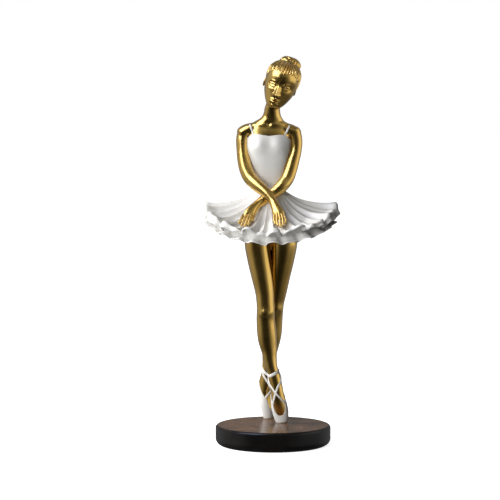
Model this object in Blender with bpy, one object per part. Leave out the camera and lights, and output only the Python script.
"""Ballerina figurine: a dancer cast in one with her tutu and pointe shoes, on a round plinth.

Metres, +Z up, the dancer faces -Y. The origin is the centre of the plinth's underside.
The dancer is modelled like clay: closed skins that overlap are pressed into one body by a
voxel remesh, smoothed, and thinned to a faceted solid. Her pose is drawn in millimetres of
a figure DRAWN_HEIGHT tall, on a floor at zero, and is scaled as a whole to DANCER_HEIGHT.
"""

import math

import bmesh
import bpy
import numpy as np
from mathutils import Matrix, Vector
from mathutils.bvhtree import BVHTree

# Driving sizes, in metres
PLINTH_DIAMETER = 0.089
PLINTH_HEIGHT = 0.0155
PLINTH_TOP_ROUND = 0.0012
PLINTH_FOOT_ROUND = 0.0055
SEAT_GAP = 0.0003
STANDS_BACK = 0.006
DANCER_HEIGHT = 0.2842
TUTU_RADIUS = 0.0515
TUTU_THICKNESS = 0.0042

# The scale of the drawn pose
DRAWN_HEIGHT = 284.2
SCALE = DANCER_HEIGHT / DRAWN_HEIGHT
FLOOR = PLINTH_HEIGHT + SEAT_GAP

# How fine the faceted solid is
CLAY_GRAIN = 0.85 * SCALE
SOLID_FACES = 8400
PLINTH_SIDES = 64
ROUND_STEPS = 4

GOLD = ((0.62, 0.42, 0.13), 1.0, 0.27)
WHITE = ((0.86, 0.86, 0.85), 0.0, 0.35)
DARK = ((0.022, 0.017, 0.014), 0.0, 0.3)

# Limbs are rows of x, y, z, half width across the view, half depth, and turn in degrees
TORSO = (
    (-3.3, 9.0, 229, 15.5, 6.0, 0),
    (-3.5, 8.7, 224, 17.3, 8.4, 0),
    (-3.6, 8.2, 218, 17.5, 9.5, 0),
    (-3.6, 7.8, 212, 17.1, 9.9, 0),
    (-3.4, 7.7, 206, 15.4, 9.5, 0),
    (-3.1, 7.9, 199, 13.6, 8.6, 0),
    (-2.7, 8.2, 192, 11.2, 7.7, 0),
    (-2.3, 8.5, 185, 9.6, 7.2, 0),
    (-2.0, 8.6, 178, 10.8, 8.1, 0),
    (-1.7, 8.7, 169, 15.5, 10.2, 0),
    (-1.5, 8.8, 158, 19.3, 12.2, 0),
    (-1.2, 8.8, 148, 19.6, 12.2, 0),
    (-1.1, 9.4, 142, 16.0, 9.5, 0),
    (-1.0, 10.0, 137, 10.0, 6.5, 0),
)
NECK = (
    (3.4, 3.2, 255, 6.3, 6.6, 0),
    (0.4, 5.0, 248, 6.4, 6.4, 0),
    (-1.5, 6.4, 242.5, 6.7, 6.3, 0),
    (-2.4, 7.5, 238.4, 7.6, 6.4, 0),
    (-3.0, 8.3, 235.4, 9.8, 6.6, 0),
    (-3.3, 8.8, 232, 13.0, 6.6, 0),
    (-3.3, 9.0, 226, 15.5, 7.0, 0),
)
# The yoke runs across the shoulders, so its half width stands upright
YOKE = (
    (-24.2, 8.0, 223.4, 4.6, 5.6, 0),
    (-20.0, 8.5, 225.2, 5.0, 6.0, 0),
    (-13.0, 9.1, 227.3, 5.3, 6.2, 0),
    (-3.3, 9.4, 228.2, 5.8, 6.4, 0),
    (6.4, 9.1, 227.3, 5.3, 6.2, 0),
    (13.6, 8.5, 225.2, 5.0, 6.0, 0),
    (17.8, 8.0, 223.4, 4.6, 5.6, 0),
)
FRONT_ARM = (
    (-22.2, 8.0, 225.2, 4.9, 5.6, 0),
    (-23.6, 7.4, 219, 4.9, 5.4, 0),
    (-23.7, 6.2, 211.3, 4.7, 5.0, 0),
    (-22.7, 4.4, 203.6, 5.0, 4.7, 0),
    (-20.9, 2.2, 196.2, 5.2, 4.5, 0),
    (-17.6, -0.6, 189.6, 5.2, 4.5, 0),
    (-12.0, -5.0, 184.2, 4.9, 4.4, 0),
    (-5.0, -10.2, 178.4, 4.1, 3.8, 0),
    (-0.4, -14.0, 172.8, 3.3, 2.8, 0),
    (1.9, -17.4, 168.2, 3.7, 2.5, 0),
    (3.9, -21.4, 163.6, 4.8, 2.2, 0),
    (4.8, -23.4, 161.0, 4.8, 1.9, 0),
)
REAR_ARM = (
    (16.0, 8.0, 225.2, 4.9, 5.6, 0),
    (17.5, 7.4, 219, 4.9, 5.4, 0),
    (17.4, 6.2, 211.3, 4.7, 5.0, 0),
    (15.4, 4.6, 203.6, 5.0, 4.7, 0),
    (13.4, 2.8, 196.2, 5.1, 4.5, 0),
    (10.8, 1.2, 189.4, 5.2, 4.6, 0),
    (6.4, -1.4, 183.6, 5.0, 4.6, 0),
    (0.4, -3.2, 178.4, 4.3, 3.9, 0),
    (-7.4, -7.0, 173.2, 3.8, 3.2, 0),
    (-11.6, -9.8, 170.2, 3.4, 2.8, 0),
    (-15.4, -14.0, 166.4, 4.0, 2.5, 0),
    (-18.2, -18.0, 162.6, 4.8, 2.2, 0),
    (-19.4, -19.8, 160.4, 4.8, 1.9, 0),
)
# Each finger is its root, its bend and its tip
FRONT_FINGERS = (
    ((1.6, -22.0, 161.4), (1.2, -25.4, 158.4), (1.7, -28.6, 155.6)),
    ((3.9, -23.0, 160.8), (4.3, -26.6, 156.8), (4.9, -30.0, 153.0)),
    ((6.1, -22.8, 160.8), (6.8, -26.2, 158.0), (7.1, -29.2, 155.4)),
    ((7.9, -21.8, 161.6), (8.9, -24.8, 159.2), (8.8, -27.6, 156.8)),
    ((6.9, -18.4, 165.4), (9.8, -22.0, 161.4), (10.7, -25.2, 157.4)),
)
REAR_FINGERS = (
    ((-22.6, -17.8, 161.6), (-24.7, -20.6, 159.0), (-26.1, -23.2, 156.2)),
    ((-20.8, -19.4, 160.4), (-22.9, -22.6, 157.4), (-24.1, -25.4, 153.8)),
    ((-18.8, -20.2, 159.8), (-20.2, -23.6, 157.0), (-20.6, -26.6, 153.8)),
    ((-16.8, -19.8, 160.4), (-17.6, -23.0, 158.2), (-17.8, -25.6, 156.0)),
    ((-14.8, -17.4, 162.8), (-15.0, -20.6, 160.4), (-15.2, -23.2, 158.2)),
)
FINGER_RADII = (1.25, 1.15, 0.95)

# Legs run from the hip to the toe's flat platform, which the floor trims
FRONT_LEG = (
    (-11.6, 6.6, 146, 10.0, 11.6, 0),
    (-12.1, 6.0, 137.9, 9.9, 11.2, 0),
    (-10.4, 5.0, 125.6, 9.3, 10.4, 0),
    (-8.5, 4.0, 114.8, 8.6, 9.6, 0),
    (-6.4, 3.0, 101.7, 7.5, 8.3, 0),
    (-5.9, 2.0, 93.3, 7.0, 7.4, 0),
    (-5.7, 1.6, 87.0, 7.0, 7.1, 0),
    (-5.7, 2.6, 80.2, 7.2, 7.4, 0),
    (-5.2, 3.6, 73.6, 7.5, 7.9, 0),
    (-4.7, 4.0, 67.6, 7.5, 7.8, 0),
    (-4.0, 4.0, 61.9, 7.1, 7.2, 0),
    (-3.0, 3.8, 56.0, 6.2, 6.4, 0),
    (-2.3, 3.3, 49.8, 5.3, 5.7, 0),
    (-1.3, 2.8, 44.2, 4.7, 5.2, 2),
    (0.1, 2.4, 39.0, 4.4, 4.9, 4),
    (1.2, 2.6, 34.6, 4.8, 5.6, 6),
    (2.2, 3.0, 29.6, 4.9, 6.2, 8),
    (3.2, 2.2, 24.2, 4.9, 5.4, 8),
    (3.9, 1.6, 18.8, 5.3, 4.7, 8),
    (4.9, 1.7, 12.8, 5.9, 4.3, 8),
    (5.9, 2.3, 8.0, 5.8, 4.1, 8),
    (6.5, 2.8, 4.0, 5.2, 3.8, 8),
    (6.8, 3.1, -0.6, 4.2, 3.2, 8),
)
REAR_LEG = (
    (8.6, 8.4, 146, 10.2, 11.6, 0),
    (8.4, 8.4, 137.6, 10.2, 11.2, 0),
    (6.9, 9.6, 125.2, 9.2, 10.3, 0),
    (5.0, 11.0, 114.2, 8.5, 9.5, 0),
    (3.1, 12.8, 101, 7.5, 8.3, 0),
    (1.6, 14.2, 92.5, 7.0, 7.5, 5),
    (1.0, 15.2, 86.4, 6.9, 7.2, 10),
    (0.3, 17.2, 79.2, 7.1, 7.5, 16),
    (-0.3, 19.0, 73.0, 7.4, 7.9, 22),
    (-0.9, 20.2, 66.8, 7.3, 7.8, 28),
    (-1.8, 21.2, 60.6, 6.9, 7.2, 34),
    (-2.6, 21.8, 54.6, 6.0, 6.4, 40),
    (-3.1, 22.4, 48.3, 5.1, 5.6, 46),
    (-3.6, 22.8, 42.8, 4.6, 5.0, 52),
    (-4.2, 23.2, 37.4, 4.3, 4.8, 58),
    (-4.4, 23.6, 33.2, 4.7, 5.6, 62),
    (-5.0, 23.9, 28.6, 4.9, 6.2, 65),
    (-5.6, 24.2, 23.6, 4.9, 5.2, 65),
    (-5.7, 24.4, 18.4, 5.3, 4.6, 65),
    (-5.1, 24.6, 12.4, 5.8, 4.3, 65),
    (-4.4, 24.8, 7.6, 5.7, 4.1, 65),
    (-3.9, 25.0, 3.4, 5.1, 3.7, 65),
    (-3.7, 25.1, -0.8, 4.2, 3.2, 65),
)

# The head leans on her left shoulder's side and bows: its centre and three turns, in degrees
HEAD_CENTRE = Vector((6.1, 1.2, 262.2))
HEAD_LEAN, HEAD_BOW, HEAD_LOOK = 17.5, 13.0, -4.0
HEAD_SIZE = 36.5
# Shares of the head's height: height, front, back, half width
HEAD = (
    (0.02, 0.330, 0.220, 0.085),
    (0.06, 0.365, 0.080, 0.160),
    (0.13, 0.380, -0.060, 0.220),
    (0.22, 0.378, -0.150, 0.272),
    (0.32, 0.376, -0.270, 0.318),
    (0.43, 0.370, -0.370, 0.350),
    (0.54, 0.366, -0.430, 0.370),
    (0.65, 0.374, -0.458, 0.378),
    (0.76, 0.350, -0.445, 0.368),
    (0.86, 0.285, -0.385, 0.320),
    (0.94, 0.160, -0.285, 0.225),
    (0.985, 0.020, -0.160, 0.110),
)
# Brushes on the face: across, up from the chin, width, height, and how far it stands out
FACE = (
    (0.000, 0.415, 0.040, 0.085, 0.046),
    (0.000, 0.345, 0.052, 0.042, 0.072),
    (-0.052, 0.335, 0.024, 0.022, 0.026),
    (0.052, 0.335, 0.024, 0.022, 0.026),
    (-0.150, 0.475, 0.075, 0.042, -0.042),
    (0.150, 0.475, 0.075, 0.042, -0.042),
    (0.000, 0.235, 0.075, 0.026, 0.026),
    (0.000, 0.190, 0.062, 0.024, 0.022),
    (0.000, 0.085, 0.070, 0.050, 0.022),
)
# The dress ends at the neckline, and the shoes reach up to the heels
NECKLINE, SHOE_TOP = 222.5, 27.0
BUN_CENTRE = Vector((1.0, -11.6, 14.6))
BUN_RADII = (9.6, 6.8, 6.6)

# The tutu hangs round this upright axis, from the waist down to two frilled hems
TUTU_AXIS = Vector((-1.6, 8.0, 0.0))
TUTU_WAIST = 183.6
WAIST_RADIUS = 7.6
HEM = TUTU_RADIUS / SCALE
CLOTH = TUTU_THICKNESS / SCALE
# How far the skirt and its hem fall below the waist at the sides, and how much more elsewhere
SIDE_DROP, FRONT_DROP, BACK_DROP = 14.0, 19.0, 8.0
SIDE_HEM, FRONT_HEM, BACK_HEM = 24.0, 13.0, 6.0
# Frills are waves round the hem: how many, how far each turns, and its share
UPPER_FRILL = ((17, 0.4, 0.62), (11, 2.1, 0.34), (26, 1.3, 0.22))
LOWER_FRILL = ((19, 1.9, 0.60), (13, 0.3, 0.36), (29, 2.6, 0.20))
PLEATS = ((23, 0.9, 0.55), (14, 1.7, 0.45), (37, 0.2, 0.25))


def spline(stations, at):
    """The smooth curve through the rows of stations, read at shares of its run from 0 to 1."""
    rows = np.asarray(stations, float)
    rows = np.vstack([2 * rows[0] - rows[1], rows, 2 * rows[-1] - rows[-2]])
    run = np.clip(at, 0, 1) * (len(rows) - 3)
    start = np.minimum(run.astype(int), len(rows) - 4)
    f = (run - start).reshape(start.shape + (1,) * (rows.ndim - 1))
    a, b, c, d = (rows[start + i] for i in range(4))
    return 0.5 * (2 * b + (c - a) * f + (2 * a - 5 * b + 4 * c - d) * f**2 + (3 * (b - c) + d - a) * f**3)


def unit(vectors):
    return vectors / np.linalg.norm(vectors, axis=-1, keepdims=True)


def waves(frill, angle):
    """A periodic curve round the hem, as the sum of a few waves."""
    return sum(share * np.cos(count * angle + turn) for count, turn, share in frill)


def roll_up(clay, sides, rows, place):
    """Adds to clay a flat grid that place rolls up into a closed skin."""
    skin = bmesh.new()
    bmesh.ops.create_grid(skin, x_segments=sides, y_segments=rows, size=0.5)
    flat = np.array([vert.co for vert in skin.verts])
    points = place(flat[:, 0] + 0.5, flat[:, 1] + 0.5)
    for vert, point in zip(skin.verts, points):
        vert.co = point
    bmesh.ops.remove_doubles(skin, verts=skin.verts, dist=1e-3)
    bmesh.ops.recalc_face_normals(skin, faces=skin.faces)
    mesh = bpy.data.meshes.new("skin")
    skin.to_mesh(mesh)
    skin.free()
    clay.from_mesh(mesh)
    bpy.data.meshes.remove(mesh)


def limb(stations, boxy=2.0, cap=0.06):
    """The place function of a rounded limb along the stations, closed by a dome at each end."""

    def place(around, along):
        inner = (along - cap) / (1 - 2 * cap)
        over = np.clip(np.maximum(-inner, inner - 1) * (1 - 2 * cap) / cap, 0, 1)
        row = spline(stations, inner)
        step = 0.004
        run = spline(stations, np.clip(inner, 0, 1 - step) + step) - spline(stations, np.clip(inner, step, 1) - step)
        tangent = unit(run[:, :3])
        depth = np.array((0.0, 1.0, 0.0)) - tangent * tangent[:, 1:2]
        depth = unit(depth)
        width = np.cross(tangent, depth)
        turn = np.radians(row[:, 5:6])
        width, depth = width * np.cos(turn) + depth * np.sin(turn), depth * np.cos(turn) - width * np.sin(turn)
        angle = 2 * math.pi * around
        shrink = np.cos(over * math.pi / 2)
        across = np.sign(np.cos(angle)) * np.abs(np.cos(angle)) ** (2 / boxy) * row[:, 3] * shrink
        deep = np.sign(np.sin(angle)) * np.abs(np.sin(angle)) ** (2 / boxy) * row[:, 4] * shrink
        dome = np.sign(inner - 0.5) * np.sin(over * math.pi / 2) * np.minimum(row[:, 3], row[:, 4]) * 0.8
        return row[:, :3] + width * across[:, None] + depth * deep[:, None] + tangent * dome[:, None]

    return place


def finger(joints):
    """The stations of one finger, from its root in the palm to its tip."""
    return [(*point, radius, radius, 0) for point, radius in zip(joints, FINGER_RADII)]


def head_turn():
    """The turn that carries the head's own axes (right, back, up) to the dancer's."""
    lean = Matrix.Rotation(math.radians(HEAD_LEAN), 3, "Y")
    bow = Matrix.Rotation(math.radians(HEAD_BOW), 3, "X")
    look = Matrix.Rotation(math.radians(HEAD_LOOK), 3, "Z")
    return lean @ bow @ look


def from_head(points):
    """Points on the head's own axes, right, forward and up, carried to the dancer's place."""
    own = np.stack([points[:, 0], -points[:, 1], points[:, 2]], axis=1)
    return own @ np.array(head_turn()).T + np.array(HEAD_CENTRE)


def head_place(around, along):
    """The head: an egg between its front and back profiles, with the face brushed on."""
    row = spline(HEAD, along)
    angle = 2 * math.pi * around
    front, back, half = row[:, 1], row[:, 2], row[:, 3]
    tip = np.clip(np.minimum(along, 1 - along) / 0.004, 0, 1)
    across = np.cos(angle) * half * tip
    forward = (front + back) / 2 + np.sin(angle) * (front - back) / 2 * tip
    up = row[:, 0]
    faces_out = np.clip(np.sin(angle), 0, 1) ** 0.5
    for x, z, width, height, out in FACE:
        falloff = np.exp(-(((across - x) / width) ** 2) - ((up - z) / height) ** 2)
        forward = forward + out * falloff * faces_out
    return from_head(np.stack([across, forward, up - 0.5], axis=1) * HEAD_SIZE)


def bun_place(around, along):
    """The hair's bun: a squashed ball behind the crown."""
    angle, rise = 2 * math.pi * around, math.pi * (along - 0.5)
    ball = np.stack([np.cos(angle) * np.cos(rise), np.sin(angle) * np.cos(rise), np.sin(rise)], axis=1)
    return from_head(ball * np.array(BUN_RADII) + np.array(BUN_CENTRE))


def tutu_place(around, along):
    """The tutu: out over the pleated skirt, round an upper and a lower hem, and back under it."""
    angle = 2 * math.pi * around
    forward, behind = np.clip(-np.sin(angle), 0, 1), np.clip(np.sin(angle), 0, 1)
    upper, lower, pleat = waves(UPPER_FRILL, angle), waves(LOWER_FRILL, angle), waves(PLEATS, angle)
    drop = SIDE_DROP + FRONT_DROP * forward**1.2 + BACK_DROP * behind**1.2
    brim = TUTU_WAIST - SIDE_HEM - FRONT_HEM * forward**1.5 - BACK_HEM * behind**1.5
    sweep = HEM - WAIST_RADIUS
    zero = 0 * angle
    profile = (
        (zero, TUTU_WAIST + zero),
        (WAIST_RADIUS + zero, TUTU_WAIST + zero),
        (WAIST_RADIUS + sweep * 0.10, TUTU_WAIST - drop * 0.26 + 0.2 * pleat),
        (WAIST_RADIUS + sweep * 0.32, TUTU_WAIST - drop * 0.64 + 0.5 * pleat),
        (WAIST_RADIUS + sweep * 0.62, TUTU_WAIST - drop * 0.92 + 0.9 * pleat + 0.5 * upper),
        (WAIST_RADIUS + sweep * 0.88 + 0.5 * upper, TUTU_WAIST - drop * 1.05 + 0.8 * pleat + 1.6 * upper),
        (HEM - 0.6 + 1.2 * upper, 0.5 * (TUTU_WAIST - drop) + 0.5 * brim + 2.6 * upper),
        (HEM - 0.2 + 1.4 * upper, brim + 2.8 * upper),
        (HEM - 2.6 + 0.8 * upper, brim + 1.2 + 2.4 * upper),
        (HEM - 3.8 + 0.6 * lower, brim - 0.8 + 1.6 * upper),
        (HEM - 2.4 + 1.2 * lower, brim - 2.4 + 1.6 * lower),
        (HEM - 2.6 + 1.4 * lower, brim - 4.2 + 2.0 * lower),
        (HEM - 5.0 + 0.8 * lower, brim - 3.2 + 1.8 * lower),
        (WAIST_RADIUS + sweep * 0.66, TUTU_WAIST - drop * 0.95 - CLOTH - 1.5 + 0.8 * lower),
        (WAIST_RADIUS + sweep * 0.38, TUTU_WAIST - drop * 0.72 - CLOTH - 3.0),
        (WAIST_RADIUS + sweep * 0.10, TUTU_WAIST - drop * 0.45 - CLOTH - 4.0),
        (zero, TUTU_WAIST - 20 + zero),
    )
    table = np.array([[r + zero, z + zero] for r, z in profile])
    radius, height = read_profile(table, along)
    x = TUTU_AXIS.x + radius * np.cos(angle)
    y = TUTU_AXIS.y + radius * np.sin(angle)
    return np.stack([x, y, height], axis=1)


def read_profile(table, along):
    """A profile that differs from point to point of the skin, read at each point's own share."""
    knots = table.transpose(2, 0, 1)
    knots = np.concatenate([2 * knots[:, :1] - knots[:, 1:2], knots, 2 * knots[:, -1:] - knots[:, -2:-1]], axis=1)
    run = np.clip(along, 0, 1) * (knots.shape[1] - 3)
    start = np.minimum(run.astype(int), knots.shape[1] - 4)
    f = (run - start)[:, None]
    point = np.arange(len(along))
    a, b, c, d = (knots[point, start + i] for i in range(4))
    curve = 0.5 * (2 * b + (c - a) * f + (2 * a - 5 * b + 4 * c - d) * f**2 + (3 * (b - c) + d - a) * f**3)
    return curve[:, 0], curve[:, 1]


def dress_skins():
    """The skins of the white bodice and tutu: sides, rows and place function of each."""
    return [(64, 60, limb(TORSO, boxy=2.25)), (360, 96, tutu_place)]


def flesh_skins():
    """The skins of the gold dancer herself, her hair and her feet."""
    skins = [(48, 32, limb(NECK)), (40, 40, limb(YOKE)), (96, 96, head_place), (32, 24, bun_place)]
    skins += [(32, 64, limb(arm, cap=0.04)) for arm in (FRONT_ARM, REAR_ARM)]
    skins += [(16, 16, limb(finger(joints), cap=0.1)) for joints in (*FRONT_FINGERS, *REAR_FINGERS)]
    skins += [(40, 96, limb(leg, boxy=2.1, cap=0.02)) for leg in (FRONT_LEG, REAR_LEG)]
    return skins


def clay_of(skins):
    """The skins together, overlapping, at the dancer's real size and place."""
    clay = bmesh.new()
    for sides, rows, place in skins:
        roll_up(clay, sides, rows, place)
    stand = Matrix.Translation((0, STANDS_BACK, FLOOR)) @ Matrix.Scale(SCALE, 4)
    bmesh.ops.transform(clay, verts=clay.verts, matrix=stand)
    return clay


def surface_of(skins):
    """A tree that tells how far a point is from the nearest of the skins."""
    clay = clay_of(skins)
    tree = BVHTree.FromBMesh(clay)
    clay.free()
    return tree


def paint_white(mesh):
    """Gives the second material to the faces of the bodice, the tutu and the shoes."""
    dress, flesh = surface_of(dress_skins()), surface_of(flesh_skins())
    for face in mesh.polygons:
        height = (face.center.z - FLOOR) / SCALE
        on_dress = dress.find_nearest(face.center)[3] < flesh.find_nearest(face.center)[3]
        if height < SHOE_TOP or (on_dress and height < NECKLINE):
            face.material_index = 1


def material(name, finish):
    """A Principled material from a colour, a metallic value and a roughness."""
    colour, metallic, roughness = finish
    made = bpy.data.materials.new(name)
    made.use_nodes = True
    shader = made.node_tree.nodes["Principled BSDF"]
    shader.inputs["Base Color"].default_value = (*colour, 1)
    shader.inputs["Metallic"].default_value = metallic
    shader.inputs["Roughness"].default_value = roughness
    return made


def object_from(name, shape, *materials):
    mesh = bpy.data.meshes.new(name)
    shape.to_mesh(mesh)
    shape.free()
    made = bpy.data.objects.new(name, mesh)
    for each in materials:
        mesh.materials.append(each)
    bpy.context.scene.collection.objects.link(made)
    return made


def triangles(piece):
    """How many triangles the piece has with its modifiers so far."""
    mesh = piece.evaluated_get(bpy.context.evaluated_depsgraph_get()).data
    return sum(len(face.vertices) - 2 for face in mesh.polygons)


def make_floor_cutter():
    """A block whose top is the floor that the toes are trimmed to, just clear of the plinth."""
    block = bmesh.new()
    bmesh.ops.create_cube(block, size=1.0)
    side, deep = PLINTH_DIAMETER * 2, PLINTH_HEIGHT
    bmesh.ops.scale(block, verts=block.verts, vec=(side, side, deep))
    bmesh.ops.translate(block, verts=block.verts, vec=(0, 0, FLOOR - deep / 2))
    cutter = object_from("floor_cutter", block)
    cutter.hide_render = True
    cutter.display_type = "WIRE"
    return cutter


def make_dancer():
    """The dancer, her dress and her shoes as one cast body."""
    clay = clay_of([*dress_skins(), *flesh_skins()])
    dancer = object_from("dancer", clay, material("gold_paint", GOLD), material("white_paint", WHITE))
    press = dancer.modifiers.new("press_together", "REMESH")
    press.mode = "VOXEL"
    press.voxel_size = CLAY_GRAIN
    soften = dancer.modifiers.new("soften", "SMOOTH")
    soften.factor = 0.5
    soften.iterations = 3
    thin = dancer.modifiers.new("thin_out", "DECIMATE")
    thin.ratio = SOLID_FACES / triangles(dancer)
    trim = dancer.modifiers.new("trim_toes", "BOOLEAN")
    trim.operation = "DIFFERENCE"
    trim.object = make_floor_cutter()
    solid = bpy.data.meshes.new_from_object(dancer.evaluated_get(bpy.context.evaluated_depsgraph_get()))
    dancer.modifiers.clear()
    dancer.data = solid
    paint_white(solid)
    return dancer


def make_plinth():
    """The round plinth, turned from its half outline, with a soft top edge and a rounder foot."""
    radius = PLINTH_DIAMETER / 2
    outline = [(0, 0), (radius - PLINTH_FOOT_ROUND, 0)]
    for centre_z, reach, first in (
        (PLINTH_FOOT_ROUND, PLINTH_FOOT_ROUND, -90),
        (PLINTH_HEIGHT - PLINTH_TOP_ROUND, PLINTH_TOP_ROUND, 0),
    ):
        for step in range(ROUND_STEPS + 1):
            angle = math.radians(first + 90 * step / ROUND_STEPS)
            outline.append((radius - reach + reach * math.cos(angle), centre_z + reach * math.sin(angle)))
    outline.append((0, PLINTH_HEIGHT))
    turned = bmesh.new()
    verts = [turned.verts.new((x, 0, z)) for x, z in outline]
    edges = [turned.edges.new(pair) for pair in zip(verts, verts[1:])]
    bmesh.ops.spin(
        turned,
        geom=verts + edges,
        axis=(0, 0, 1),
        cent=(0, 0, 0),
        steps=PLINTH_SIDES,
        angle=2 * math.pi,
        use_merge=True,
    )
    bmesh.ops.remove_doubles(turned, verts=turned.verts, dist=1e-6)
    bmesh.ops.recalc_face_normals(turned, faces=turned.faces)
    plinth = object_from("plinth", turned, material("dark_lacquer", DARK))
    plinth.data.shade_smooth()
    plinth.data.set_sharp_from_angle(angle=math.radians(40))
    return plinth


def main():
    for old in list(bpy.data.objects):
        bpy.data.objects.remove(old)
    make_plinth()
    make_dancer()


main()
